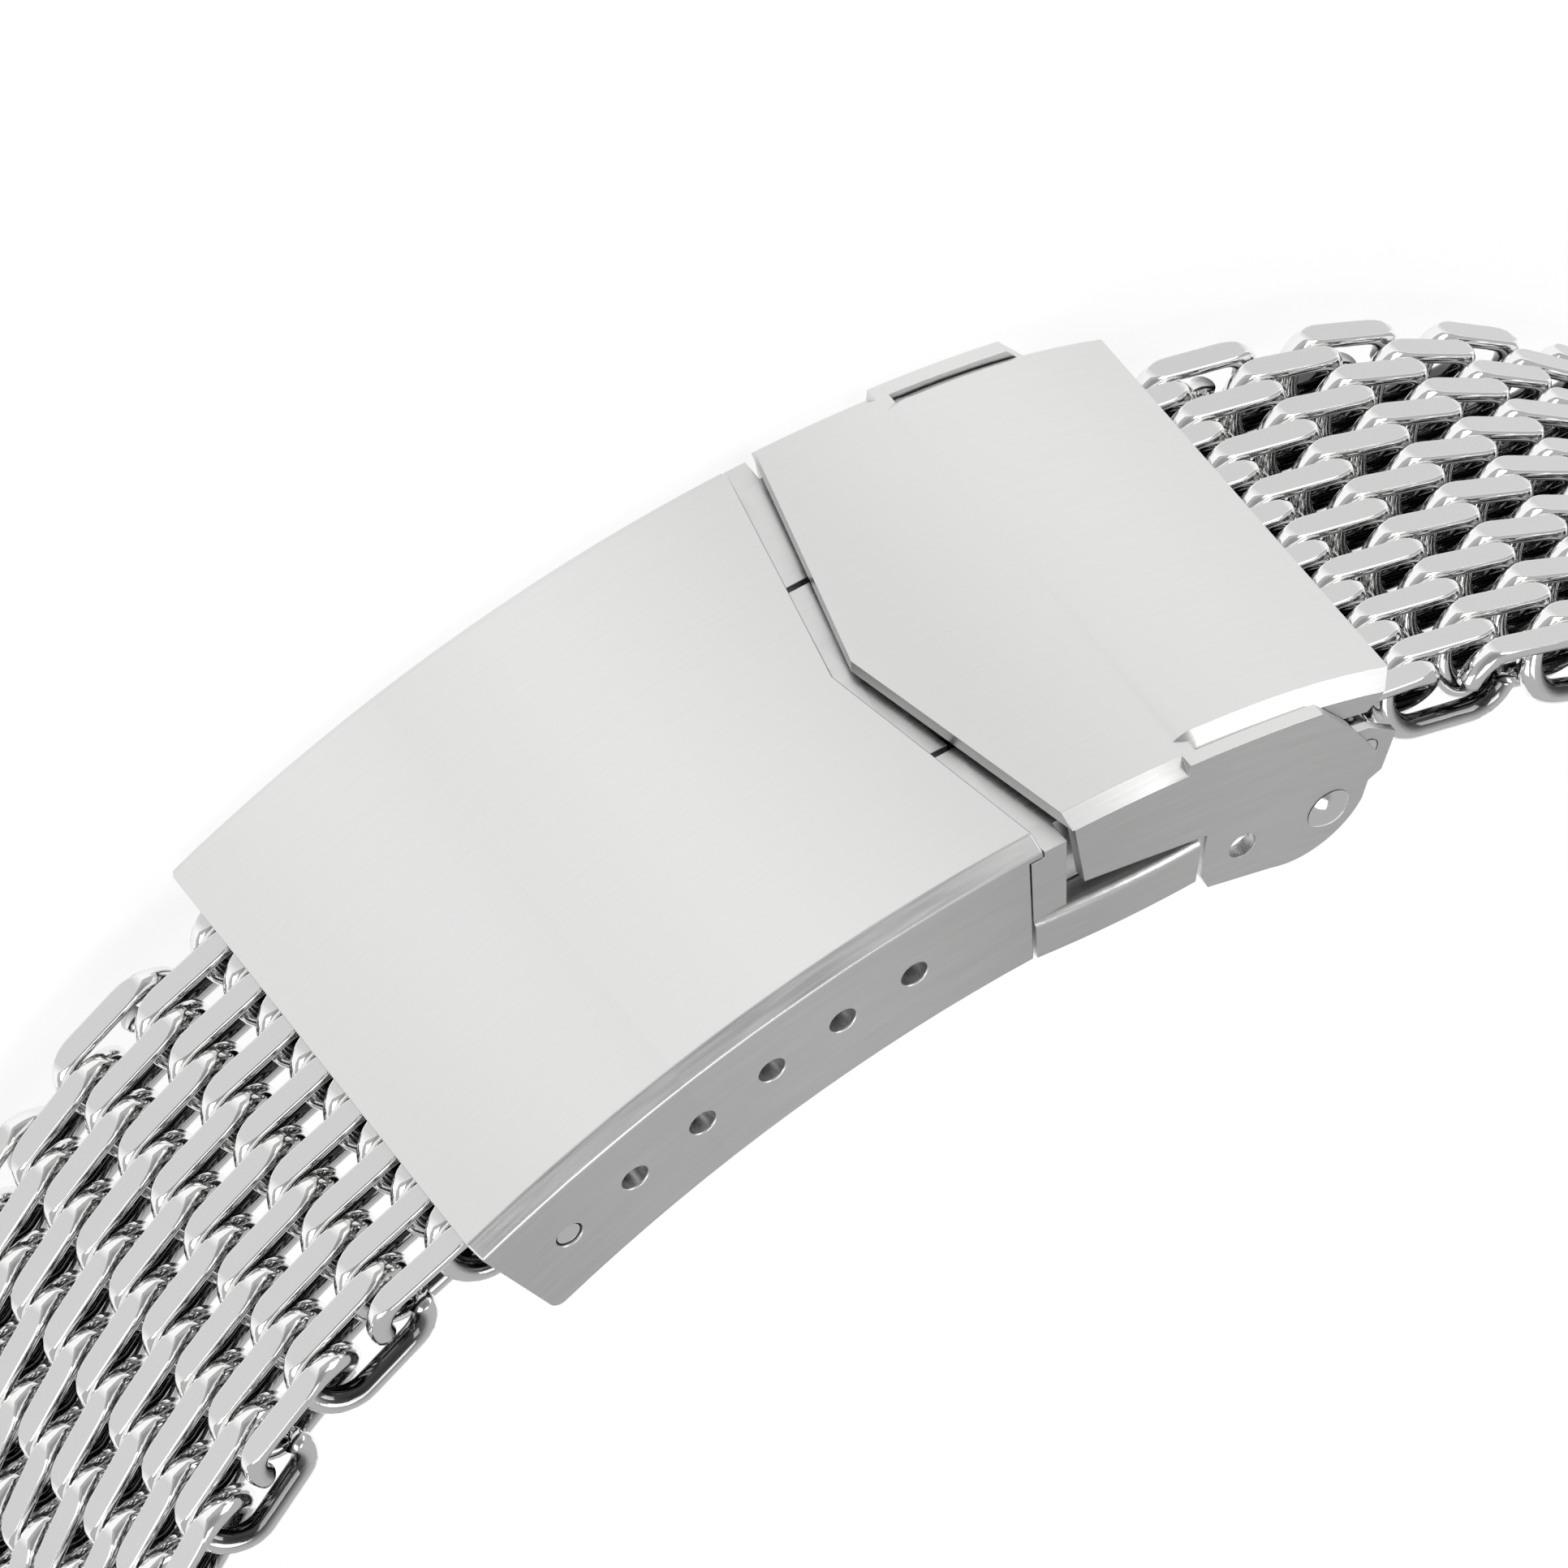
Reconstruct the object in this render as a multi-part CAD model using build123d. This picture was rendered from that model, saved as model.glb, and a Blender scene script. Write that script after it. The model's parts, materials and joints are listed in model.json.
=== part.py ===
from build123d import *
import os
from math import sin, cos, sqrt, radians, degrees, hypot

# Shark mesh bracelet with a fold-over clasp, closed, lying on its far edge.
# Millimetres. Plan view in XY, the width of the strap along Z, near side up.
# A place on the clasp is (run, depth): run follows the outer curve of the clasp
# from the left end of the cover, depth is measured inwards from that curve.

# Clasp, overall
clasp_width = 20.0
clasp_radius = 46.6
clasp_middle = 9.1
clear = 0.05
slide_gap = 0.10
overrun = 3.0

# Cover, a channel with a vee cut in its locking end
cover_length = 23.95
cover_sheet = 0.85
cover_wall = 0.85
cover_depth = 6.1
cover_wall_length = 23.4
cover_vee = 1.95
cover_bevel = 0.55
cover_corner = 0.45
adjust_count = 6
adjust_first = 2.6
adjust_pitch = 3.14
adjust_depth = 3.15
adjust_radius = 0.52

# Lock housing, welded inside the cover
housing_start = 19.6
housing_end = 31.0
housing_wall = 0.75
housing_sheet = 0.6
housing_roof_depth = 3.3
ledge_depth = 0.6
ledge_end = 26.2
ledge_strip = 1.0
ledge_split_share = 0.44
ledge_split_gap = 0.22
shoulder_end = 24.9

# Push buttons and their spring
button_start = 23.5
button_end = 30.95
button_top = 4.15
button_bottom = 6.05
button_bulge = 0.25
button_edge = 0.3
button_travel = 0.7
button_plate = 0.35
button_plate_half = 2.2
button_plate_rim = 1.0
button_window_half = 1.5
button_seat_share = 0.33
button_seat_width = 1.1
button_spring_radius = 0.4
button_spring_wire = 0.2
button_spring_turns = 10
button_spring_run = 29.75
stud_run = 27.0
stud_radius = 0.6
stud_head_radius = 0.95
stud_head = 0.35
stud_shank_radius = 0.45

# Folding blades and their pins
upper_blade_top = 4.85
upper_blade_bottom = 5.4
lower_blade_top = 5.5
lower_blade_bottom = 6.1
cover_hinge_run = 20.9
cover_hinge_depth = 4.6
cover_knuckle = 0.8
blade_hinge_run = 7.2
blade_hinge_depth = 5.45
blade_knuckle = 0.75
blade_centre_share = 0.35
hinge_pin_radius = 0.4
pin_fit = 0.03

# Flip lock: vee sheet, raised top and two side arms
flip_sheet = 0.54
flip_rise = 0.25
flip_vee_run = 25.15
flip_vee = 2.4
flip_step_run = 29.9
flip_top_rise = 0.5
flip_top_end = 39.0
flip_top_end_depth = -0.2
flip_top_inset = 0.6
flip_top_bevel = 0.6
flip_brow_rise = 0.2
flip_brow_length = 1.1
flip_brow_share = 0.3
flip_bevel = 0.55
flip_top_wall = 0.35
flip_top_undercut = 0.9
flip_skirt_depth = 1.15
flip_arm_front = 3.3
flip_notch_run = 31.2
flip_notch_depth = 3.9
flip_arm_depth = 7.0
flip_arm_corner = 0.5
flip_lobe_share = 0.75
flip_arm_hole_run = 33.05
flip_arm_hole_depth = 5.2
flip_arm_hole = 0.55
flip_pin_run = 37.05
flip_pin_depth = 4.85
flip_pin_radius = 0.5
flip_pin_head = 0.85
flip_pin_dome = 0.32

# End block on the lower blade
block_start = 32.6
block_end = 34.7
block_top = 1.6
block_tab_end = 37.9
block_tab_top = 4.9
ear_end = 39.9
ear_top = 2.0
ear_wall = 0.34
bar_b_run = 38.7
bar_b_depth = 3.1

# Spring bars
bar_radius = 0.75
bar_offset = 1.2
bar_wall = 0.2
tip_radius = 0.45
tip_length = 3.2
tip_collar = 0.6
tip_collar_radius = 0.5
bar_spring_wire = 0.16
bar_spring_pitch = 0.7
bar_spring_rise_share = 0.9

# Mesh: one flat wound wire in each row
wire = 0.92
wire_pitch = 2.16
mesh_inset = 2.1
coil_half_height = 1.35
coil_length = 5.15
wire_flat = 0.28
row_step = 3.3
left_lead = 2.0
left_turns = [6, 8, 9, 7, 6, 6, 8, 8, 8, 8, 8, 8, 8, 8, 8, 8, 8]
right_lead = 31.0
right_turns = [5, 5, 6, 6, 5, 5, 4, 4, 4, 4, 4, 5, 7, 9, 11, 12, 12]

# Lug ends
lug_tube_radius = 1.6
lug_bore = 0.95

arc_share = sqrt(0.5)
half = clasp_width / 2
inner_half = half - cover_wall
ear_half = half - flip_sheet - clear
ear_inner = ear_half - ear_wall
blade_half_width = inner_half - housing_wall - button_travel - 2 * clear
blade_centre_half = blade_centre_share * half
ledge_split = ledge_split_share * half
button_seat = button_seat_share * half
flip_top_half = half - flip_top_inset
lug_width = clasp_width - mesh_inset
wire_turns = int((lug_width - wire) / wire_pitch + arc_share)
head_top = housing_roof_depth + housing_sheet + slide_gap


def at(run, depth):
    """Plan point for a place on the clasp."""
    turn = (run - clasp_middle) / clasp_radius
    reach = clasp_radius - depth
    return (-reach * sin(turn), -reach * cos(turn))


def heading(run):
    """Angle of the clasp's curve at a run, in degrees, zero at the middle of the arc."""
    return degrees((run - clasp_middle) / clasp_radius)


def band(start, end, top, bottom):
    """Ring sector in plan between two runs and two depths."""
    middle = (start + end) / 2
    outline = [
        ThreePointArc(at(start, top), at(middle, top), at(end, top)),
        Line(at(end, top), at(end, bottom)),
        ThreePointArc(at(end, bottom), at(middle, bottom), at(start, bottom)),
        Line(at(start, bottom), at(start, top)),
    ]
    return make_face(outline)


def across(face, low, high):
    """Raise a plan face into a solid between two heights across the strap."""
    return Pos(0, 0, low) * extrude(face, amount=high - low, dir=(0, 0, 1))


def both_sides(face, inner, outer):
    """The same plate on the near and on the far side."""
    return across(face, inner, outer) + across(face, -outer, -inner)


def rod(run, depth, radius, low, high):
    """Round bar across the strap."""
    x, y = at(run, depth)
    return Pos(x, y, low) * Cylinder(radius, high - low, align=(Align.CENTER, Align.CENTER, Align.MIN))


def face_plane(run, depth=0):
    """Plane that lies on the clasp's curve: x along the run, normal pointing outwards."""
    x, y = at(run, depth)
    turn = radians(heading(run))
    return Plane(origin=(x, y, 0), x_dir=(-cos(turn), sin(turn), 0), z_dir=(-sin(turn), -cos(turn), 0))


def vee_cutter(run, point, side):
    """Everything beyond a vee line, whose point lies the given distance left of its corners."""
    edge = half + overrun
    corner = point * overrun / half
    far = side * (cover_length + overrun)
    outline = Polyline((far, -edge), (corner, -edge), (-point, 0), (corner, edge), (far, edge), close=True)
    return extrude(face_plane(run) * make_face(outline), amount=cover_depth + overrun, both=True)


def wound_path(straight, rise, pitch, flats, top_first, hooks):
    """Flat spiral: straight runs above and below, joined by half turns of two tangent arcs.

    Each half turn moves on by half a pitch. A hook is a quarter turn at a free end.
    """
    step = pitch / 2
    slope = step / 2 / rise
    stretch = sqrt(1 + slope * slope)
    reach = rise * stretch
    x = straight / 2
    y = -step * (flats - 1) / 2
    side = 1 if top_first else -1
    level = side * rise
    edges = []
    if hooks:
        tip = (-side * (x + rise), y, 0)
        bend = (-side * (x + rise * arc_share), y, level * arc_share)
        edges.append(ThreePointArc(tip, bend, (-side * x, y, level)))
    for flat in range(flats):
        if straight:
            edges.append(Line((-side * x, y, level), (side * x, y, level)))
        if flat == flats - 1:
            break
        out, back = side * (x + reach), side * (x + reach * arc_share)
        ease = step / 2 * (1 - arc_share)
        middle = (out, y + step / 2, 0)
        edges.append(ThreePointArc((side * x, y, level), (back, y + ease, level * arc_share), middle))
        edges.append(ThreePointArc(middle, (back, y + step - ease, -level * arc_share),
                                   (side * x, y + step, -level)))
        y, side, level = y + step, -side, -level
    if hooks:
        bend = (side * (x + rise * arc_share), y, level * arc_share)
        edges.append(ThreePointArc((side * x, y, level), bend, (side * (x + rise), y, 0)))
    return Wire(edges)


def wound_wire(path, radius):
    """Round wire swept along a path."""
    start = Plane(origin=path @ 0, z_dir=path % 0)
    return sweep(start * Circle(radius), path=path)


def mesh_row(parity):
    """One row of the mesh: a wound wire with its faces ground flat above and below."""
    straight = coil_length - 2 * sqrt(coil_half_height ** 2 + (wire_pitch / 4) ** 2)
    path = wound_path(straight, coil_half_height, wire_pitch, 2 * wire_turns, parity == 0, True)
    height = 2 * coil_half_height + wire - 2 * wire_flat
    width = (wire_turns + 1) * wire_pitch
    return wound_wire(path, wire / 2) & Box(coil_length + 2 * wire, width, height)


def strap_frames(run, depth, lead, turns, side):
    """Plan place and heading of each row, from the spring bar outwards, with its hinge point."""
    bar = at(run, depth)
    angle = side * lead
    x = bar[0] - side * cos(radians(angle)) * bar_offset
    y = bar[1] + side * sin(radians(angle)) * bar_offset
    frames = [((x, y), angle, bar)]
    for turn in turns:
        old, new = radians(angle), radians(angle + side * turn)
        hinge = (x - side * cos(old) * row_step / 2, y + side * sin(old) * row_step / 2)
        x, y = hinge[0] - side * cos(new) * row_step / 2, hinge[1] + side * sin(new) * row_step / 2
        angle += side * turn
        frames.append(((x, y), angle, hinge))
    return frames


def row_plane(place, angle):
    """Frame of a row: x along increasing run, z outwards."""
    turn = radians(angle)
    return Plane(origin=(*place, 0), x_dir=(-cos(turn), sin(turn), 0), z_dir=(-sin(turn), -cos(turn), 0))


def clasp_cover():
    top = across(band(0, cover_length + overrun, 0, cover_sheet), -half, half)
    walls = both_sides(band(0, cover_length + overrun, 0, cover_depth), inner_half, half)
    body = top + walls
    rims = [e for e in body.edges().filter_by(GeomType.CIRCLE)
            if abs(e.radius - clasp_radius) < clear and abs(abs(e.center().Z) - half) < clear]
    body = chamfer(rims, cover_bevel)
    ends = [e for e in body.edges().filter_by(Axis.Z)
            if hypot(e.center().X - at(0, cover_depth)[0], e.center().Y - at(0, cover_depth)[1]) < clear]
    body = fillet(ends, cover_corner)
    body -= vee_cutter(cover_length, cover_vee, 1) & across(
        band(-overrun, cover_length + 2 * overrun, -overrun, ledge_depth + cover_wall), -half, half)
    body -= across(band(cover_wall_length, cover_length + 2 * overrun, cover_sheet,
                        cover_depth + overrun), -half - overrun, half + overrun)
    for hole in range(adjust_count):
        run = adjust_first + hole * adjust_pitch
        body -= rod(run, adjust_depth, adjust_radius, -half - clear, half + clear)
    return body


def lock_housing():
    side = inner_half - clear
    plate = across(band(housing_start, ledge_end, cover_sheet + clear, cover_sheet + clear + housing_sheet),
                   -side, side)
    ledge = across(band(cover_length - cover_vee - flip_vee, ledge_end, ledge_depth,
                        cover_sheet + 2 * clear), -half, half)
    ledge &= vee_cutter(cover_length + clear, cover_vee, 1)
    tall = band(housing_start, ledge_end, cover_sheet + clear, cover_depth)
    low = band(ledge_end - clear, housing_end, housing_roof_depth, cover_depth)
    body = plate + ledge
    for wall in (tall, low):
        body += both_sides(wall, side - housing_wall, side)
    shoulder = band(cover_wall_length + clear, shoulder_end, cover_sheet + clear, button_top - slide_gap)
    body += both_sides(shoulder, side - housing_wall, half)
    beyond = band(shoulder_end, housing_end + overrun, -overrun, cover_depth + overrun)
    body -= both_sides(beyond, side, half + overrun)
    roof_under = housing_roof_depth + housing_sheet
    front = band(ledge_end - housing_sheet, ledge_end, ledge_depth, roof_under)
    roof = band(ledge_end - housing_sheet, housing_end, housing_roof_depth, roof_under)
    end = band(housing_end - housing_sheet, housing_end, housing_roof_depth, lower_blade_top - slide_gap)
    body += across(front, -side, side) + across(roof, -side, side) + across(end, -side, side)
    pocket = across(band(ledge_end - overrun * 2, ledge_end - housing_sheet - clear, -overrun,
                         cover_sheet + 2 * housing_sheet), -ledge_split, ledge_split)
    body -= pocket & vee_cutter(cover_length + ledge_strip, cover_vee, 1)
    for edge in (-ledge_split, ledge_split):
        slit = across(band(cover_length - 2 * cover_vee, ledge_end, -overrun,
                           cover_sheet + housing_sheet / 2), edge - ledge_split_gap / 2,
                      edge + ledge_split_gap / 2)
        body -= slit & vee_cutter(cover_length, cover_vee, 1)
    slot = band(button_start - slide_gap, housing_end + overrun, button_top - slide_gap,
                cover_depth + overrun)
    body -= both_sides(slot, side - housing_wall - clear - button_travel, half + overrun)
    body -= rod(cover_hinge_run, cover_hinge_depth, hinge_pin_radius + pin_fit, -half, half)
    return body


def push_button(side):
    """Bulged side tab with a forked plate that reaches round the stud; side is 1 on the near side.

    The two plates lie one under the other, open towards the locking end, where the stud swings out.
    """
    low, high = inner_half - clear - housing_wall, half
    tab = across(band(button_start, button_end, button_top, button_bottom), low, high + button_bulge)
    middle = (button_start + button_end) / 2
    chord = (button_end - button_start) / 2
    radius = (chord ** 2 + button_bulge ** 2) / (2 * button_bulge)
    drum = Cylinder(radius, clasp_width)
    tab &= face_plane(middle) * Pos(0, -(high + button_bulge - radius), 0) * drum
    top_rims = [e for e in tab.edges() if e.center().Z > high - clear and
                abs(hypot(e.center().X, e.center().Y) - (clasp_radius - button_top)) < 2 * clear]
    tab = fillet(top_rims, button_edge)
    top = head_top + stud_head + clear
    if side == -1:
        top += button_plate + clear
    catch = stud_head_radius + 2 * clear
    seat_start = stud_run + button_plate_half - button_plate
    plate = across(band(stud_run - button_plate_half, seat_start, top, top + button_plate),
                   -catch - button_plate_rim, low + clear)
    plate -= across(band(stud_run - button_window_half, stud_run + button_plate_half, top - clear,
                         top + button_plate + clear), -catch, catch + button_travel)
    block = across(band(button_spring_run - button_seat_width / 2, button_spring_run + button_seat_width / 2,
                        top, top + button_plate), button_seat, low + clear)
    lug = across(band(button_spring_run - button_spring_radius, button_spring_run + button_spring_radius,
                      spring_depth() - button_spring_radius, spring_depth() + button_spring_radius),
                 button_seat, button_seat + button_plate_rim)
    body = tab + plate + block + lug
    return body if side == 1 else mirror(body, about=Plane.XY)


def spring_depth():
    """Depth of the button spring's axis: the middle of the two stacked plates."""
    return head_top + stud_head + clear + button_plate + clear / 2


def button_spring():
    """Compression spring between the two buttons."""
    flats = 2 * button_spring_turns
    pitch = 4 * (button_seat - clear - button_spring_wire / 2) / (flats - 1)
    path = wound_path(0, button_spring_radius, pitch, flats, True, False)
    return face_plane(button_spring_run, spring_depth()) * wound_wire(path, button_spring_wire / 2)


def upper_blade():
    sheet = band(blade_hinge_run, cover_hinge_run, upper_blade_top, upper_blade_bottom)
    body = across(sheet, -blade_half_width, blade_half_width)
    for side in (-1, 1):
        low, high = sorted((side * (blade_centre_half), side * (blade_half_width + clear)))
        body -= rod(blade_hinge_run, blade_hinge_depth, blade_knuckle + slide_gap, low, high)
    body += rod(blade_hinge_run, blade_hinge_depth, blade_knuckle, -blade_centre_half, blade_centre_half)
    body += rod(cover_hinge_run, cover_hinge_depth, cover_knuckle, -blade_half_width, blade_half_width)
    body -= rod(blade_hinge_run, blade_hinge_depth, hinge_pin_radius + pin_fit, -half, half)
    body -= rod(cover_hinge_run, cover_hinge_depth, hinge_pin_radius + pin_fit, -half, half)
    return body


def lower_blade():
    sheet = band(blade_hinge_run, block_tab_end, lower_blade_top, lower_blade_bottom)
    body = across(sheet, -blade_half_width, blade_half_width)
    centre = blade_centre_half + slide_gap
    body -= rod(blade_hinge_run, blade_hinge_depth, blade_knuckle + slide_gap, -centre, centre)
    body -= across(band(0, blade_hinge_run, lower_blade_top - clear, lower_blade_bottom + clear),
                   -centre, centre)
    for side in (-1, 1):
        low, high = sorted((side * centre, side * blade_half_width))
        body += rod(blade_hinge_run, blade_hinge_depth, blade_knuckle, low, high)
    body -= rod(blade_hinge_run, blade_hinge_depth, hinge_pin_radius + pin_fit, -half, half)
    body -= face_plane(stud_run) * Cylinder(stud_shank_radius + pin_fit, 2 * clasp_width)
    return body


def cover_hinge_pin():
    length = inner_half - 2 * clear
    return rod(cover_hinge_run, cover_hinge_depth, hinge_pin_radius, -length, length)


def blade_hinge_pin():
    return rod(blade_hinge_run, blade_hinge_depth, hinge_pin_radius, -blade_half_width, blade_half_width)


def latch_stud():
    """Riveted stud: a shank through the blade, a neck and a round head."""
    def turned(radius, top, bottom):
        return face_plane(stud_run, (top + bottom) / 2) * Cylinder(radius, bottom - top)
    neck = turned(stud_radius, head_top, lower_blade_top - clear / 2)
    head = turned(stud_head_radius, head_top, head_top + stud_head)
    shank = turned(stud_shank_radius, lower_blade_top - 2 * clear, lower_blade_bottom)
    return neck + head + shank


def end_block():
    base = lower_blade_top - clear / 2
    body = across(band(block_start, block_end, block_top, base), -ear_half, ear_half)
    body += across(band(block_end - clear, block_tab_end, block_tab_top, base), -ear_half, ear_half)
    rear = (flip_pin_run + ear_end) / 2
    outline = Polyline(at(block_start, ear_top), at(rear, ear_top), at(ear_end, ear_top + flip_sheet),
                       at(ear_end, flip_pin_depth - flip_sheet), at(rear, base),
                       at(block_start, base), close=True)
    ears = both_sides(make_face(outline), ear_inner, ear_half)
    body += ears
    body -= rod(flip_pin_run, flip_pin_depth, flip_pin_radius + pin_fit, -half, half)
    body -= rod(bar_b_run, bar_b_depth, tip_radius + clear, -half, half)
    body -= rod(flip_arm_hole_run, flip_arm_hole_depth - flip_arm_hole, flip_arm_hole / 2, -half, half)
    return body


def flip_lock():
    nose = across(band(flip_vee_run - 2 * flip_vee, flip_step_run + flip_sheet, -flip_rise,
                       flip_sheet - flip_rise), -half, half)
    nose &= vee_cutter(flip_vee_run, flip_vee, 1)
    top_middle = (flip_step_run + flip_top_end) / 2
    top_end = at(flip_top_end, flip_top_end_depth)
    skirt_end = at(flip_top_end - flip_top_undercut, flip_skirt_depth)
    brow = at(flip_step_run, -flip_brow_rise)
    top_start = at(flip_step_run + flip_brow_length, -flip_top_rise)
    ridge = ThreePointArc(brow, at(flip_step_run + flip_brow_share * flip_brow_length,
                                   -arc_share * flip_top_rise - flip_brow_share * flip_brow_rise), top_start)
    rise = ThreePointArc(top_start, at(top_middle, -flip_top_rise), top_end)
    foot = at(flip_step_run, flip_skirt_depth)
    hem = ThreePointArc(skirt_end, at(top_middle, flip_skirt_depth), foot)
    outer = make_face([rise, Line(top_end, skirt_end), hem, Line(foot, brow), ridge])
    crown = across(outer, -flip_top_half, flip_top_half)
    rims = [e for e in crown.edges() if flip_top_half - abs(e.center().Z) < clear
            and hypot(e.center().X, e.center().Y) > clasp_radius]
    crown = chamfer(rims, flip_top_bevel)
    hollow = offset(outer, -flip_sheet)
    reach = across(hollow, -flip_top_half + flip_top_wall, flip_top_half - flip_top_wall)
    below = across(band(flip_step_run - overrun, flip_top_end - flip_sheet, flip_sheet - flip_rise,
                        cover_depth), -flip_top_half + flip_top_wall, flip_top_half - flip_top_wall)
    crown = crown - reach - below
    block = across(band(flip_vee_run - overrun, flip_step_run, -flip_rise, flip_arm_front), -half, half)
    rims = [e for e in block.edges().filter_by(GeomType.CIRCLE)
            if abs(e.radius - clasp_radius - flip_rise) < clear]
    body = nose + flip_arms() - (block - chamfer(rims, flip_bevel)) + crown
    body -= rod(flip_pin_run, flip_pin_depth, flip_pin_radius + pin_fit, -half - clear, half + clear)
    body -= rod(flip_arm_hole_run, flip_arm_hole_depth, flip_arm_hole, -half - clear, half + clear)
    return body


def flip_arms():
    """Side arms: a short front flange, a notch for the button and a rounded lobe round the pin."""
    pin, below = at(flip_pin_run, flip_pin_depth), at(flip_pin_run, flip_arm_depth)
    lobe = hypot(pin[0] - below[0], pin[1] - below[1])
    crest_run = flip_step_run + flip_arm_front + lobe
    back_run = flip_pin_run + lobe * flip_lobe_share
    front = at(flip_vee_run, -flip_rise)
    crest = at(crest_run, -flip_rise)
    dip = at(flip_pin_run, flip_skirt_depth)
    shoulder = at(back_run, flip_pin_depth - lobe)
    back = at(back_run, flip_pin_depth)
    bottom = at(flip_pin_run, flip_arm_depth - flip_sheet / 2)
    heel = at(flip_pin_run - lobe, flip_arm_depth)
    toe = at(flip_notch_run + flip_arm_corner, flip_arm_depth - flip_sheet / 2)
    toe_side = at(flip_notch_run, flip_arm_depth - 2 * flip_sheet)
    notch = at(flip_notch_run, flip_notch_depth)
    flange = at(flip_vee_run + flip_sheet, flip_arm_front)
    outline = [
        ThreePointArc(front, at((flip_vee_run + crest_run) / 2, -flip_rise), crest),
        Line(crest, dip),
        Line(dip, shoulder),
        Line(shoulder, back),
        ThreePointArc(back, bottom, heel),
        Line(heel, toe),
        Line(toe, toe_side),
        Line(toe_side, notch),
        Line(notch, flange),
        Line(flange, front),
    ]
    return both_sides(make_face(outline), half - flip_sheet, half)


def flip_lock_pin():
    """Two short rivets with domed heads, one on each side of the end block."""
    ball = (flip_pin_head ** 2 + flip_pin_dome ** 2) / (2 * flip_pin_dome)
    x, y = at(flip_pin_run, flip_pin_depth)
    dome = Pos(x, y, half + clear / 2 + flip_pin_dome - ball) * Sphere(ball)
    dome &= rod(flip_pin_run, flip_pin_depth, flip_pin_head, half + clear / 2, half + overrun)
    near = rod(flip_pin_run, flip_pin_depth, flip_pin_radius, ear_inner, half + clear) + dome
    return Compound([near, mirror(near, about=Plane.XY)])


def bar_half(outer):
    """Half length of a spring bar's tube that fits between two walls."""
    return outer - 2 * slide_gap


def bar_tube(run, depth, inner):
    length = bar_half(inner)
    body = rod(run, depth, bar_radius, -length, length)
    body -= rod(run, depth, bar_radius - bar_wall, -length + bar_wall, length - bar_wall)
    return body - rod(run, depth, tip_radius + pin_fit, -length - clear, length + clear)


def bar_tip(run, depth, inner, outer, side):
    """Stepped end of a spring bar, with the collar that keeps it in the tube."""
    inside = bar_half(inner) - tip_length
    low, high = sorted((side * inside, side * outer))
    body = rod(run, depth, tip_radius, low, high)
    low, high = sorted((side * inside, side * (inside + tip_collar)))
    return body + rod(run, depth, tip_collar_radius, low, high)


def bar_spring(run, depth, inner):
    space = 2 * (bar_half(inner) - tip_length) - 2 * slide_gap - bar_spring_wire
    flats = 2 * int(space / bar_spring_pitch)
    radius = bar_radius - bar_wall - clear - bar_spring_wire / 2
    path = wound_path(0, radius * bar_spring_rise_share, bar_spring_pitch, flats, True, False)
    return face_plane(run, depth) * wound_wire(path, bar_spring_wire / 2)


def lug_tube(place, angle, side):
    """Tube welded across the last row, for the watch's spring bar."""
    turn = radians(angle)
    gap = coil_length / 2 + wire / 2 + lug_tube_radius + clear
    x, y = place[0] - side * cos(turn) * gap, place[1] + side * sin(turn) * gap
    tube = Cylinder(lug_tube_radius, lug_width) - Cylinder(lug_bore, lug_width + overrun)
    return Pos(x, y, 0) * tube, (x, y)


def bracelet():
    parts = {
        "clasp_cover": clasp_cover(),
        "lock_housing": lock_housing(),
        "push_button_near": push_button(1),
        "push_button_far": push_button(-1),
        "button_spring": button_spring(),
        "cover_hinge_pin": cover_hinge_pin(),
        "upper_blade": upper_blade(),
        "blade_hinge_pin": blade_hinge_pin(),
        "lower_blade": lower_blade(),
        "latch_stud": latch_stud(),
        "end_block": end_block(),
        "flip_lock_pin": flip_lock_pin(),
        "flip_lock": flip_lock(),
    }
    bars = (("left", adjust_first, adjust_depth, inner_half, half - slide_gap),
            ("right", bar_b_run, bar_b_depth, ear_inner, ear_half))
    for name, run, depth, inner, outer in bars:
        parts[f"{name}_bar_tube"] = bar_tube(run, depth, inner)
        parts[f"{name}_bar_spring"] = bar_spring(run, depth, inner)
        parts[f"{name}_bar_tip_near"] = bar_tip(run, depth, inner, outer, 1)
        parts[f"{name}_bar_tip_far"] = bar_tip(run, depth, inner, outer, -1)
    coils = [mesh_row(0), mesh_row(1)]
    straps = (("left", strap_frames(adjust_first, adjust_depth, left_lead, left_turns, -1), -1, 1),
              ("right", strap_frames(bar_b_run, bar_b_depth, right_lead, right_turns, 1), 1, 0))
    for name, frames, side, first in straps:
        for row, (place, angle, hinge) in enumerate(frames):
            parts[f"{name}_mesh_row_{row + 1:02d}"] = row_plane(place, angle) * coils[(row + first) % 2]
            print("hinge", name, row + 1, *hinge)
        tube, centre = lug_tube(*frames[-1][:2], side)
        parts[f"{name}_lug_tube"] = tube
        print("lug", name, *centre, angle)
    return parts


def main():
    os.makedirs("parts", exist_ok=True)
    parts = bracelet()
    boxes = [shape.bounding_box() for shape in parts.values()]
    middle = [(min(b.min.X for b in boxes) + max(b.max.X for b in boxes)) / 2,
              (min(b.min.Y for b in boxes) + max(b.max.Y for b in boxes)) / 2]
    shift = (-middle[0], -middle[1], -min(b.min.Z for b in boxes))
    print("shift", *shift)
    for name, shape in parts.items():
        export_step(Pos(*shift) * shape, f"parts/{name}.step")


main()
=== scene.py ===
import json
import math

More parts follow.
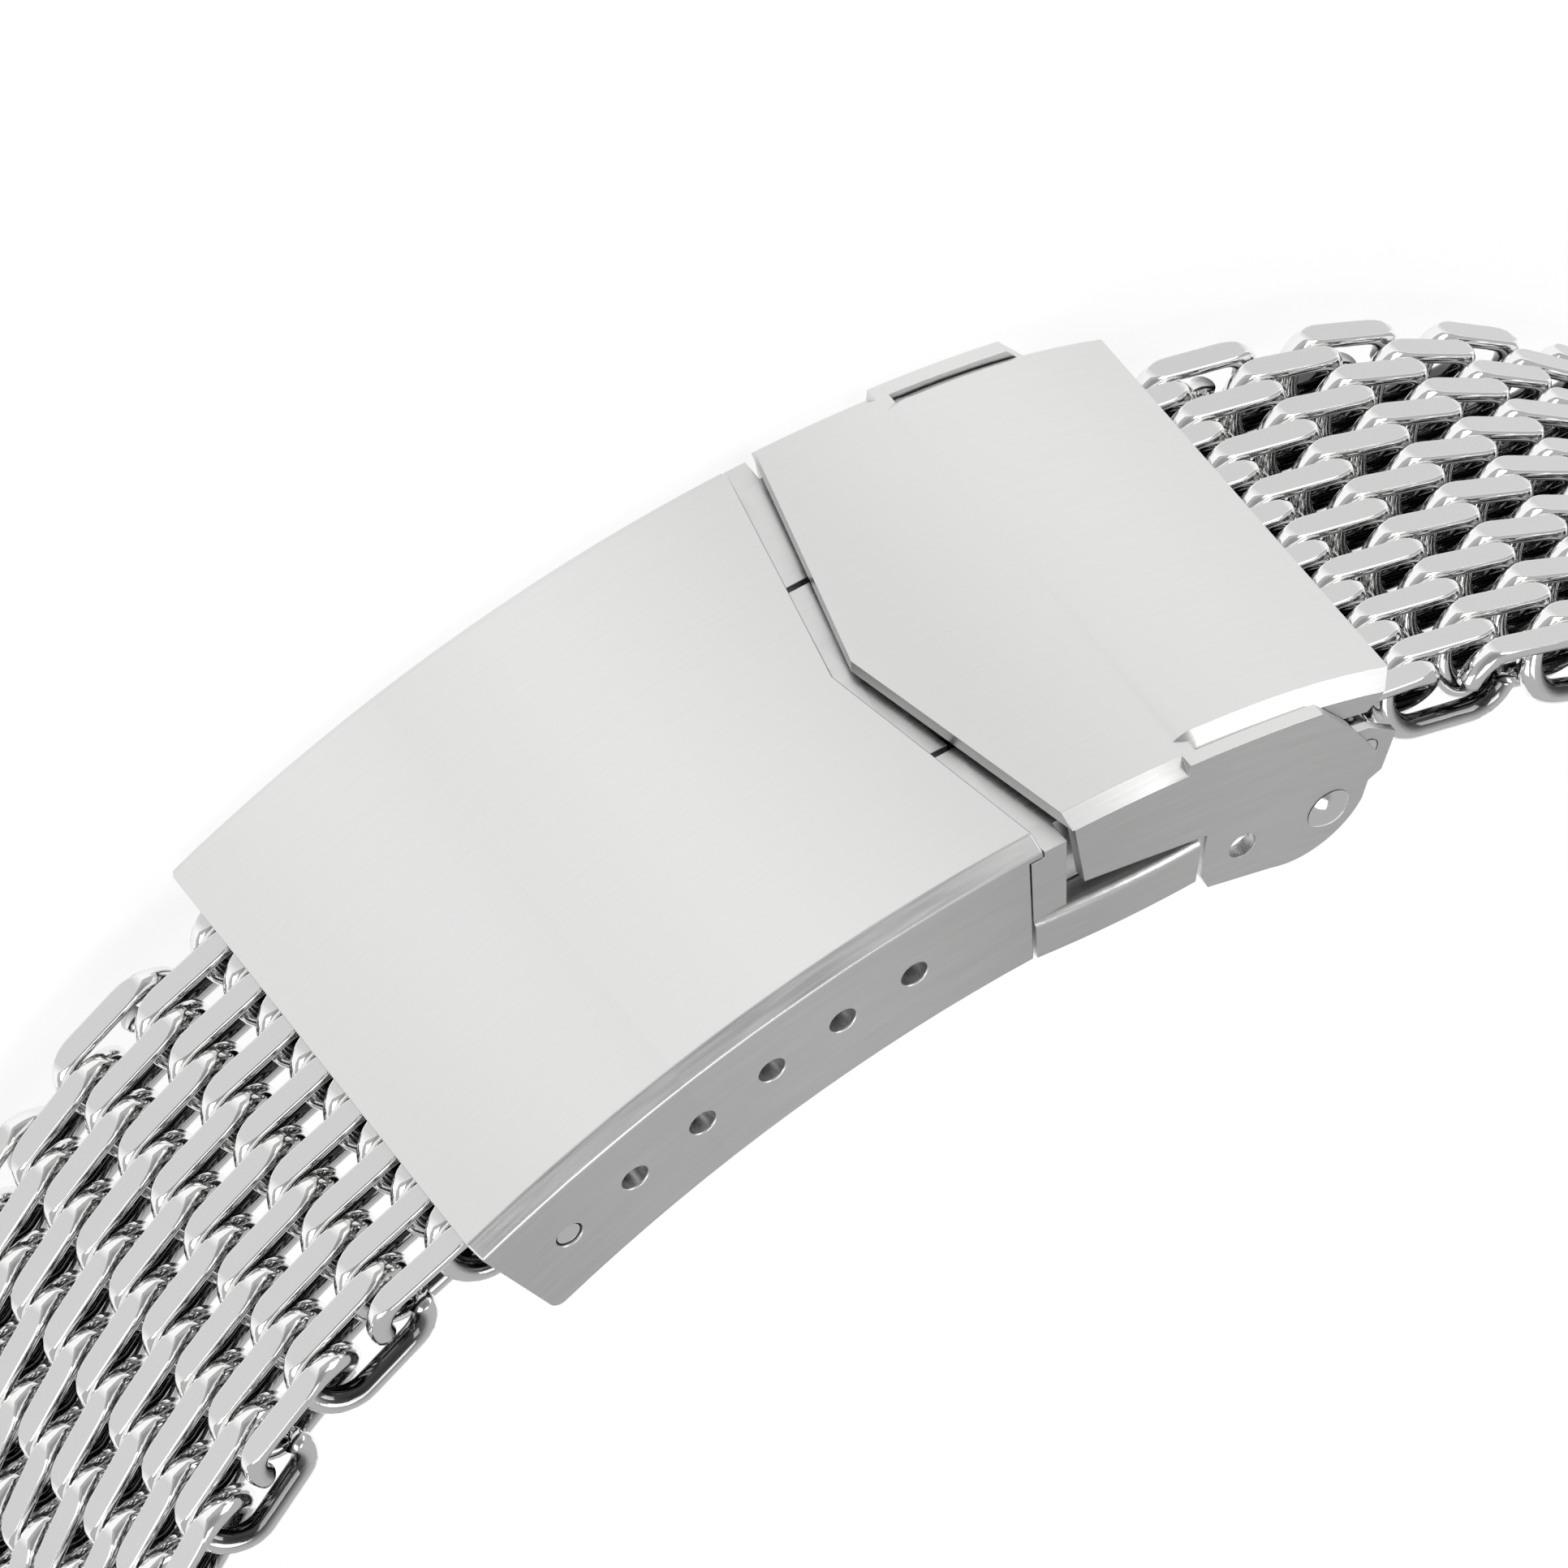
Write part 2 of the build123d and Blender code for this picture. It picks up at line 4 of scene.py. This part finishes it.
import bmesh
import bpy
import numpy as np
from mathutils import Euler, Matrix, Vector

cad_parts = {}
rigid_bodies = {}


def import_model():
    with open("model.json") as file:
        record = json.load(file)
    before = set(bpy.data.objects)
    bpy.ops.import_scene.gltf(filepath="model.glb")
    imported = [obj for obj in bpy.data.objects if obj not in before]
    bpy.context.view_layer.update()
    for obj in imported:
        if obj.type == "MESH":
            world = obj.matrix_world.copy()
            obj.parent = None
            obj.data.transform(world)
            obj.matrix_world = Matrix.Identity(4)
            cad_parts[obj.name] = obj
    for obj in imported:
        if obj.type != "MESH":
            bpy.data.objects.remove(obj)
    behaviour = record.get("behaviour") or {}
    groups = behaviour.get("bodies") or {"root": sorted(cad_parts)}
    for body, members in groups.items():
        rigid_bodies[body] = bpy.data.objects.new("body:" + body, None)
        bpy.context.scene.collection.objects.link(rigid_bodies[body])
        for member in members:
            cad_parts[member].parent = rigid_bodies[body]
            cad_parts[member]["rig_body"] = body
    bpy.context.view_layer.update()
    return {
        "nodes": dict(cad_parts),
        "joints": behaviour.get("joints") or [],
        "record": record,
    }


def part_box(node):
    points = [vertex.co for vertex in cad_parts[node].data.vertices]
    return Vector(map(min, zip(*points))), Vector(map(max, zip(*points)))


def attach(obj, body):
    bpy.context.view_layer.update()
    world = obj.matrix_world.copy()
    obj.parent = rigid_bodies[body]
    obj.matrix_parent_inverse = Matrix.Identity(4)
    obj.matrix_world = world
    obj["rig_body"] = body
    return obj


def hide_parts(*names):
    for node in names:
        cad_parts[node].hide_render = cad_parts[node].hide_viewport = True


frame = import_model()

# Shark mesh bracelet: metres, in the part's frame. The bracelet lies on its far
# edge, the clasp's outside faces -Y and the near edge is up.
joints = {joint["name"]: joint for joint in frame["joints"]}
mounts = {mount["name"]: mount for mount in frame["record"]["mounts"]}

# Mesh wire
WIRE = 0.00092
WIRE_PITCH = 0.00216
WIRE_STEP = WIRE_PITCH / 2
WIRE_FLATS = 16
COIL_RISE = 0.00135
COIL_LENGTH = 0.00515
WIRE_GROUND = 0.00028
ROW_STEP = 0.0033
ROWS = 18
FIRST_TOP = {"left": 0, "right": 1}

# Points of the wire's path and of its section
FLAT_POINTS = 4
TURN_POINTS = 20
QUARTER_POINTS = TURN_POINTS // 2 + 1
ACROSS_FACE = (-1, -0.88, -0.5, 0, 0.5, 0.88, 1)
ROUND_POINTS = 14
LEAST_TILT = 0.05
LEAST_SPREAD = 0.25
BEYOND_RING = 2.0

# Where a mask starts and over how much it grows
GROUND_FADE = (0.2, 0.15)
# The second mask is the painted shade on the sides of the wire that face into the coil
PAINTED_SHADE_FADE = (0.15, 0.5)

# Clasp: the axis of its curve, and the softened rims of each sheet piece
CLASP_RADIUS = 0.0466
CLASP_AXIS = (0.006551, 0.014113)
RIMS = {
    "clasp_cover": 0.00012,
    "lock_housing": 0.00006,
    "flip_lock": 0.00012,
    "push_button_near": 0.00005,
    "push_button_far": 0.00005,
    "end_block": 0.00008,
    "upper_blade": 0.00008,
    "lower_blade": 0.00008,
    "left_lug_tube": 0.0001,
    "right_lug_tube": 0.0001,
}
RIM_ANGLE = math.radians(28.0)
RIM_SEGMENTS = 3
POINT_MERGE = 1e-6
FLAT_ANGLE = math.radians(0.2)

# Finishes: colour and its drift (brushing grain plus wide bands of painted shade), lines per metre, their
# stretch along the run, lowest and highest roughness, strength of the bump
FINISHES = {
    "brushed_steel": ((0.745, 0.745, 0.74), 0.07, 7000.0, 0.05, 0.32, 0.42, 0.16),
    "polished_steel": ((0.86, 0.86, 0.86), 0.01, 4000.0, 0.5, 0.08, 0.14, 0.05),
    "spring_steel": ((0.62, 0.62, 0.62), 0.02, 6000.0, 0.3, 0.2, 0.3, 0.1),
    "mesh_steel": ((0.62, 0.62, 0.617), 0.01, 12000.0, 0.12, 0.24, 0.3, 0.08),
}
CURL_STEEL = (0.9, 0.9, 0.895)
CURL_ROUGHNESS = 0.1
# Near-black colour painted as shade on the wire's sides that face into the coils
INSIDE_PAINTED_SHADE = (0.1, 0.1, 0.1)
LINE_RELIEF = 0.00002
LINE_DETAIL = 3.0
NOISE_RANGE = (0.3, 0.7)
# Wide noise bands of painted shade and light in the colour, standing in for reflected bands on the cover
PAINTED_BANDS_ALONG = 95.0
PAINTED_BANDS_ACROSS = 12.0
PAINTED_BAND_SHARE = 1.6
LINE_SHARE = 0.5
TONE_DROP = 0.55

# Studio
FLOOR_HALF = 3.0
FLOOR_DROP = 0.00005
FLOOR_PLAIN = 0.8
FLOOR_SEEN = 0.25
FLOOR_GLOW = 0.84
DARK_CARD = (-0.055, -0.532, 0.845)
CARD_EDGE = (0.72, 0.96)
SKY_LEVEL = 0.6
CARD_LEVEL = 0.36
LAMP_TARGET = (0, 0, 0.01)
LAMP_SIZE = 0.5
LAMPS = {
    "left_lamp": ((-0.8, -0.3, 0.6), 2.5),
    "right_lamp": ((0.8, -0.3, 0.6), 2.5),
    "top_lamp": ((0.1, -0.1, 1.1), 2.0),
}

# Camera: the place, turn and lens of the photograph's view
CAMERA_PLACE = (0.023481, -0.431129, 0.264802)
CAMERA_TURN = (-50.6632, -32.9021, 159.7232)
CAMERA_LENS = 321.67
CAMERA_SENSOR = 36.0
CAMERA_CLIP = (0.01, 10)


# ---------------------------------------------------------------- places

def plan_place(item):
    """Plan place of a joint or mount, as an array."""
    return np.array(item["pos_m"][:2])


def row_frame(side, row):
    """Middle and axes of a mesh row: x along increasing run of the clasp, y across, z outwards.

    A row's two hinges lie on its long axis, half a step either side of its middle.
    """
    last = row == ROWS
    start = plan_place(joints[f"{side}_row_{row:02d}_hinge"])
    end = plan_place(mounts[f"{side}_lug_bore"] if last else joints[f"{side}_row_{row + 1:02d}_hinge"])
    away = (end - start) / np.linalg.norm(end - start)
    middle = start + away * ROW_STEP / 2 if last else end - away * ROW_STEP / 2
    along = away if side == "right" else -away
    node_low, node_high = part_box(f"{side}_mesh_row_{row:02d}")
    height = (node_low.z + node_high.z) / 2
    x_axis = np.array([along[0], along[1], 0.0])
    z_axis = np.array([-along[1], along[0], 0.0])
    y_axis = np.cross(z_axis, x_axis)
    return np.array([middle[0], middle[1], height]), x_axis, y_axis, z_axis


# ---------------------------------------------------------------- mesh rows

def unit_path():
    """One flat of the wire and the half turn after it.

    Flat: x runs from -s to s at height +rise. Half turn by angle t from 0 to pi:
    x = s + reach sin t, z = rise cos t, y = step/2 (1 - cos t).
    Returns points and outward normals.
    """
    reach = math.hypot(COIL_RISE, WIRE_PITCH / 4)
    s = COIL_LENGTH / 2 - reach
    u = np.linspace(0, 1, FLAT_POINTS + 1)[:-1]
    flat = np.stack([-s + 2 * s * u, 0 * u, COIL_RISE + 0 * u], 1)
    t = np.linspace(0, np.pi, TURN_POINTS + 1)[:-1]
    turn = np.stack([s + reach * np.sin(t), WIRE_STEP / 2 * (1 - np.cos(t)), COIL_RISE * np.cos(t)], 1)
    out_flat = np.tile([0.0, 0.0, 1.0], (len(u), 1))
    out_turn = np.stack([np.sin(t), 0 * t, np.cos(t)], 1)
    return np.concatenate([flat, turn]), np.concatenate([out_flat, out_turn])


def wire_path(top_first):
    """Whole row: each unit is the one before it turned half round the row's y axis and moved on a step.

    A quarter turn at each end brings the wire's ends in to the middle height.
    """
    points, outward = unit_path()
    turn = np.array([-1.0, 1.0, -1.0])
    index = np.arange(WIRE_FLATS)
    sign = np.where(index[:, None, None] % 2 == 0, 1.0, turn[None, None, :])
    path = points[None] * sign + np.array([0, 1, 0]) * (index * WIRE_STEP)[:, None, None]
    normal = outward[None] * sign
    kept = WIRE_FLATS * len(points) - TURN_POINTS + QUARTER_POINTS
    path, normal = path.reshape(-1, 3)[:kept], normal.reshape(-1, 3)[:kept]
    path[-QUARTER_POINTS:, 1] = path[-QUARTER_POINTS, 1]
    angle = np.linspace(np.pi / 2, 0, QUARTER_POINTS)[:-1]
    lead = np.stack([points[0, 0] - COIL_RISE * np.sin(angle), 0 * angle, COIL_RISE * np.cos(angle)], 1)
    lead_out = np.stack([-np.sin(angle), 0 * angle, np.cos(angle)], 1)
    path, normal = np.concatenate([lead, path]), np.concatenate([lead_out, normal])
    path[:, 1] -= WIRE_STEP * (WIRE_FLATS - 1) / 2
    if not top_first:
        path, normal = path * turn, normal * turn
    return path, normal


def ground_wire(path, outward):
    """Sweeps the wire's section along the path.

    A ring is a circle of the wire's radius cut by a chord on its outward side. The chord is where
    the ground face, a plane at height h, meets the ring: (h - |z|) / |outward z| from the centre.
    Returns the rings, how far each vertex lies on a ground face, and how far it looks into the coil, the
    mask for painted shade.
    """
    radius = WIRE / 2
    tangent = np.gradient(path, axis=0)
    tangent /= np.linalg.norm(tangent, axis=1, keepdims=True)
    out = outward - (outward * tangent).sum(1, keepdims=True) * tangent
    out /= np.linalg.norm(out, axis=1, keepdims=True)
    side = np.cross(tangent, out)
    height = COIL_RISE + radius - WIRE_GROUND
    depth = (height - np.abs(path[:, 2])) / np.maximum(np.abs(out[:, 2]), LEAST_TILT) / radius
    cut = np.arccos(np.clip(depth, -1, 1))
    spread = np.maximum(cut, LEAST_SPREAD)
    chord = np.sin(spread)[:, None] * np.array(ACROSS_FACE)[None]
    face = np.where(cut > 0, depth, BEYOND_RING)[:, None]
    top = np.minimum(np.sqrt(np.maximum(1 - chord ** 2, 0)), face)
    share = np.linspace(0, 1, ROUND_POINTS + 2)[1:-1]
    angle = spread[:, None] + (2 * np.pi - 2 * spread)[:, None] * share[None]
    ring_out = np.concatenate([top, np.cos(angle)], 1) * radius
    ring_side = np.concatenate([chord, np.sin(angle)], 1) * radius
    rings = path[:, None] + ring_out[..., None] * out[:, None] + ring_side[..., None] * side[:, None]
    ground = np.zeros(ring_out.shape)
    start, growth = GROUND_FADE
    ground[:, 1:len(ACROSS_FACE) - 1] = np.clip((cut - start) / growth, 0, 1)[:, None]
    # Mask of painted shade: grows on the side of the ring that faces into the coil
    start, growth = PAINTED_SHADE_FADE
    painted_shade = np.clip((-ring_out / radius - start) / growth, 0, 1)
    return rings, ground, painted_shade


def tube_faces(rings, ring_size):
    """Quads between neighbouring rings and one many-sided cap at each end."""
    i = np.arange(rings - 1)[:, None] * ring_size
    j = np.arange(ring_size)[None]
    k = (j + 1) % ring_size
    quads = np.stack([i + j, i + ring_size + j, i + ring_size + k, i + k], -1).reshape(-1, 4)
    last = rings * ring_size - 1
    return quads.tolist() + [list(range(ring_size)), list(range(last, last - ring_size, -1))]


def make_outward(mesh):
    """Turns all faces of a closed mesh outwards."""
    work = bmesh.new()
    work.from_mesh(mesh)
    bmesh.ops.recalc_face_normals(work, faces=work.faces)
    work.to_mesh(mesh)
    work.free()


def mesh_row_piece(side, row, finish):
    """A row's wire, in the row's place, standing for its CAD node."""
    middle, x_axis, y_axis, z_axis = row_frame(side, row)
    rings, ground, painted_shade = ground_wire(*wire_path(row % 2 == FIRST_TOP[side]))
    local = rings.reshape(-1, 3)
    world = middle + local[:, :1] * x_axis + local[:, 1:2] * y_axis + local[:, 2:] * z_axis
    mesh = bpy.data.meshes.new(f"{side}_wire_{row:02d}")
    mesh.from_pydata(world.tolist(), [], tube_faces(*ground.shape))
    mesh.update()
    mesh.polygons.foreach_set("use_smooth", np.ones(len(mesh.polygons), bool))
    # Masks read by the wire's material: ground faces, and painted shade inside the coils
    for label, mask in (("ground", ground), ("painted_shade", painted_shade)):
        layer = mesh.attributes.new(label, "FLOAT", "POINT")
        layer.data.foreach_set("value", mask.reshape(-1).astype(np.float32))
    make_outward(mesh)
    mesh.materials.append(finish)
    piece = linked(f"{side}_wire_{row:02d}", mesh)
    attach(piece, f"{side}_row_{row:02d}")
    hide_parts(f"{side}_mesh_row_{row:02d}")


def linked(name, data):
    """A new object of the scene."""
    holder = bpy.data.objects.new(name, data)
    bpy.context.scene.collection.objects.link(holder)
    return holder


# ---------------------------------------------------------------- sheet pieces

def soft_rimmed(node, rim, finish):
    """A copy of a CAD node with its points merged and its sharp edges rounded by a small bevel."""
    source = frame["nodes"][node]
    mesh = source.data.copy()
    work = bmesh.new()
    work.from_mesh(mesh)
    bmesh.ops.remove_doubles(work, verts=work.verts, dist=POINT_MERGE)
    bmesh.ops.dissolve_limit(work, angle_limit=FLAT_ANGLE, verts=work.verts, edges=work.edges)
    work.to_mesh(mesh)
    work.free()
    mesh.polygons.foreach_set("use_smooth", np.ones(len(mesh.polygons), bool))
    mesh.set_sharp_from_angle(angle=RIM_ANGLE)
    mesh.materials.clear()
    mesh.materials.append(finish)
    piece = linked(node + "_finished", mesh)
    bevel = piece.modifiers.new("rim", "BEVEL")
    bevel.width = rim
    bevel.segments = RIM_SEGMENTS
    bevel.limit_method = "ANGLE"
    bevel.angle_limit = RIM_ANGLE
    bevel.harden_normals = True
    bevel.use_clamp_overlap = True
    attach(piece, source["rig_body"])
    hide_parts(node)


# ---------------------------------------------------------------- materials

def math_node(tree, kind, *values):
    """Math node of numbers and sockets; returns its result."""
    node = tree.nodes.new("ShaderNodeMath")
    node.operation = kind
    for socket, value in zip(node.inputs, values):
        if isinstance(value, float):
            socket.default_value = value
        else:
            tree.links.new(value, socket)
    return node.outputs[0]


def noise_node(tree, detail, x, y, z=None):
    """Noise of three coordinates; returns its value."""
    join, noise = tree.nodes.new("ShaderNodeCombineXYZ"), tree.nodes.new("ShaderNodeTexNoise")
    for socket, value in zip(join.inputs, (x, y, z)):
        if value is not None:
            tree.links.new(value, socket)
    noise.inputs["Scale"].default_value = 1.0
    noise.inputs["Detail"].default_value = detail
    tree.links.new(join.outputs[0], noise.inputs["Vector"])
    return noise.outputs[0]


def brushed_lines_group():
    """Fine lines along the clasp's curve, from noise stretched along the run, and wide soft bands of painted
    shade.
    """
    group = bpy.data.node_groups.new("brushed_lines", "ShaderNodeTree")
    for label in ("Lines per metre", "Stretch", "Low", "High"):
        group.interface.new_socket(label, in_out="INPUT", socket_type="NodeSocketFloat")
    for label in ("Height", "Roughness", "Grain and painted bands"):
        group.interface.new_socket(label, in_out="OUTPUT", socket_type="NodeSocketFloat")
    nodes, links = group.nodes, group.links
    given, out = nodes.new("NodeGroupInput"), nodes.new("NodeGroupOutput")
    place, split = nodes.new("ShaderNodeTexCoord"), nodes.new("ShaderNodeSeparateXYZ")
    links.new(place.outputs["Object"], split.inputs[0])

    def times(a, b):
        return math_node(group, "MULTIPLY", a, b)

    x = math_node(group, "SUBTRACT", split.outputs[0], CLASP_AXIS[0])
    y = math_node(group, "SUBTRACT", split.outputs[1], CLASP_AXIS[1])
    run = times(math_node(group, "ARCTAN2", x, y), CLASP_RADIUS)
    radius = math_node(group, "SQRT", math_node(group, "ADD", times(x, x), times(y, y)))
    lines = given.outputs["Lines per metre"]
    along = times(times(run, lines), given.outputs["Stretch"])
    fine = noise_node(group, LINE_DETAIL, along, times(split.outputs[2], lines), times(radius, lines))
    ramp = nodes.new("ShaderNodeMapRange")
    ramp.inputs["From Min"].default_value, ramp.inputs["From Max"].default_value = NOISE_RANGE
    links.new(fine, ramp.inputs["Value"])
    links.new(given.outputs["Low"], ramp.inputs["To Min"])
    links.new(given.outputs["High"], ramp.inputs["To Max"])
    links.new(fine, out.inputs["Height"])
    links.new(ramp.outputs[0], out.inputs["Roughness"])
    # Painted shade: wide noise bands lighten and darken the tone, on top of the brushing grain
    painted_bands = noise_node(group, 0.0, times(run, PAINTED_BANDS_ALONG), times(split.outputs[2], PAINTED_BANDS_ACROSS))
    grain_and_bands = math_node(group, "ADD", times(painted_bands, PAINTED_BAND_SHARE), times(fine, LINE_SHARE))
    links.new(math_node(group, "SUBTRACT", grain_and_bands, TONE_DROP), out.inputs["Grain and painted bands"])
    return group


def mixed(tree, factor, low, high, kind="RGBA"):
    """Mix of two colours or numbers by a mask; either end may be another node's output."""
    mix = tree.nodes.new("ShaderNodeMix")
    mix.data_type = kind
    tree.links.new(factor, mix.inputs["Factor"])
    for label, value in (("A", low), ("B", high)):
        socket = next(i for i in mix.inputs if i.name == label and i.enabled)
        if isinstance(value, bpy.types.NodeSocket):
            tree.links.new(value, socket)
        else:
            socket.default_value = (*value, 1) if kind == "RGBA" else value
    return next(o for o in mix.outputs if o.enabled)


def metal(name, group):
    """Steel whose roughness and bump come from the line pattern and whose colour drifts a little with the
    grain and with wide bands of painted shade.

    Returns the material, its colour and its roughness.
    """
    colour, drift, lines, stretch, low, high, bump = FINISHES[name]
    material = bpy.data.materials.new(name)
    material.use_nodes = True
    tree = material.node_tree
    shader = tree.nodes["Principled BSDF"]
    shader.inputs["Metallic"].default_value = 1.0
    grain = tree.nodes.new("ShaderNodeGroup")
    grain.node_tree = group
    for label, value in (("Lines per metre", lines), ("Stretch", stretch), ("Low", low), ("High", high)):
        grain.inputs[label].default_value = value
    # Colour swings with the brushing grain and with the painted shade bands
    grain_and_bands = mixed(tree, grain.outputs["Grain and painted bands"], [c - drift for c in colour], [c + drift for c in colour])
    tree.links.new(grain_and_bands, shader.inputs["Base Color"])
    tree.links.new(grain.outputs["Roughness"], shader.inputs["Roughness"])
    relief = tree.nodes.new("ShaderNodeBump")
    relief.inputs["Strength"].default_value = bump
    relief.inputs["Distance"].default_value = LINE_RELIEF
    tree.links.new(grain.outputs["Height"], relief.inputs["Height"])
    tree.links.new(relief.outputs["Normal"], shader.inputs["Normal"])
    return material, grain_and_bands, grain.outputs["Roughness"]


def wire_material(group):
    """Wire: satin grey where it is ground flat, polished where it is round, with near-black painted shade on
    the sides that face into the coils.
    """
    material, satin, satin_roughness = metal("mesh_steel", group)
    tree = material.node_tree
    shader = tree.nodes["Principled BSDF"]
    flat, inside = tree.nodes.new("ShaderNodeAttribute"), tree.nodes.new("ShaderNodeAttribute")
    flat.attribute_name, inside.attribute_name = "ground", "painted_shade"
    colour = mixed(tree, flat.outputs["Fac"], CURL_STEEL, satin)
    # Painted shade: near-black colour where the wire faces into the coil
    colour = mixed(tree, inside.outputs["Fac"], colour, INSIDE_PAINTED_SHADE)
    tree.links.new(colour, shader.inputs["Base Color"])
    rough = mixed(tree, flat.outputs["Fac"], CURL_ROUGHNESS, satin_roughness, "FLOAT")
    tree.links.new(rough, shader.inputs["Roughness"])
    return material


# ---------------------------------------------------------------- stage

def bare_tree(owner):
    """The emptied node tree of a material or world."""
    owner.use_nodes = True
    owner.node_tree.nodes.clear()
    return owner.node_tree


def picked(tree, factor, first, second, output):
    """Leads a mix of two shaders to the output."""
    pick, out = tree.nodes.new("ShaderNodeMixShader"), tree.nodes.new(output)
    for socket, value in zip(pick.inputs, (factor, first, second)):
        tree.links.new(value, socket)
    tree.links.new(pick.outputs[0], out.inputs[0])


def diffuse(tree, grey):
    """Matt grey shader."""
    shader = tree.nodes.new("ShaderNodeBsdfDiffuse")
    shader.inputs["Color"].default_value = (grey, grey, grey, 1)
    return shader.outputs[0]


def make_floor():
    """Plain white floor, whose shadow stays for the camera and in the metal."""
    mesh = bpy.data.meshes.new("floor")
    corners = [(x * FLOOR_HALF, y * FLOOR_HALF, 0) for x, y in ((-1, -1), (1, -1), (1, 1), (-1, 1))]
    mesh.from_pydata(corners, [], [(0, 1, 2, 3)])
    floor = linked("floor", mesh)
    floor.location.z = -FLOOR_DROP
    material = bpy.data.materials.new("floor_white")
    tree = bare_tree(material)
    path = tree.nodes.new("ShaderNodeLightPath")
    glow = tree.nodes.new("ShaderNodeEmission")
    glow.inputs["Strength"].default_value = FLOOR_GLOW
    seen = tree.nodes.new("ShaderNodeAddShader")
    tree.links.new(diffuse(tree, FLOOR_SEEN), seen.inputs[0])
    tree.links.new(glow.outputs[0], seen.inputs[1])
    direct = math_node(tree, "MAXIMUM", path.outputs["Is Camera Ray"], path.outputs["Is Glossy Ray"])
    picked(tree, direct, diffuse(tree, FLOOR_PLAIN), seen.outputs[0], "ShaderNodeOutputMaterial")
    mesh.materials.append(material)


def make_world():
    """Even grey around, a darker card high in front of the clasp, and white behind the bracelet."""
    world = bpy.data.worlds.new("studio")
    bpy.context.scene.world = world
    tree = bare_tree(world)
    path = tree.nodes.new("ShaderNodeLightPath")
    place = tree.nodes.new("ShaderNodeTexCoord")
    toward = tree.nodes.new("ShaderNodeVectorMath")
    toward.operation = "DOT_PRODUCT"
    toward.inputs[1].default_value = DARK_CARD
    tree.links.new(place.outputs["Generated"], toward.inputs[0])
    ramp = tree.nodes.new("ShaderNodeMapRange")
    ramp.interpolation_type = "SMOOTHSTEP"
    levels = (*CARD_EDGE, SKY_LEVEL, CARD_LEVEL)
    for label, value in zip(("From Min", "From Max", "To Min", "To Max"), levels):
        ramp.inputs[label].default_value = value
    tree.links.new(toward.outputs["Value"], ramp.inputs["Value"])
    around, white = tree.nodes.new("ShaderNodeBackground"), tree.nodes.new("ShaderNodeBackground")
    tree.links.new(ramp.outputs[0], around.inputs["Strength"])
    picked(tree, path.outputs["Is Camera Ray"], around.outputs[0], white.outputs[0], "ShaderNodeOutputWorld")


def area_lamp(name, place, power):
    """Square soft lamp that faces the bracelet."""
    lamp = bpy.data.lights.new(name, "AREA")
    lamp.size = LAMP_SIZE
    lamp.energy = power
    holder = linked(name, lamp)
    holder.location = place
    holder.rotation_euler = (Vector(LAMP_TARGET) - Vector(place)).to_track_quat("-Z", "Y").to_euler()


def make_camera():
    """The photograph's camera."""
    camera = bpy.data.cameras.new("camera")
    camera.sensor_width = CAMERA_SENSOR
    camera.lens = CAMERA_LENS
    camera.clip_start, camera.clip_end = CAMERA_CLIP
    holder = linked("camera", camera)
    holder.location = CAMERA_PLACE
    holder.rotation_euler = Euler([math.radians(a) for a in CAMERA_TURN], "XYZ")
    bpy.context.scene.camera = holder


# ---------------------------------------------------------------- making

brushed_lines = brushed_lines_group()
brushed = metal("brushed_steel", brushed_lines)[0]
polished = metal("polished_steel", brushed_lines)[0]
spring = metal("spring_steel", brushed_lines)[0]
wire_steel = wire_material(brushed_lines)

for side in ("left", "right"):
    for row in range(1, ROWS + 1):
        mesh_row_piece(side, row, wire_steel)

for node, rim in RIMS.items():
    soft_rimmed(node, rim, brushed)

for node, holder in frame["nodes"].items():
    if node in RIMS or "mesh_row" in node:
        continue
    holder.data.materials.clear()
    holder.data.materials.append(spring if "spring" in node else polished)

make_floor()
make_world()
for name, (place, power) in LAMPS.items():
    area_lamp(name, place, power)
make_camera()
bpy.context.scene.view_settings.view_transform = "Standard"
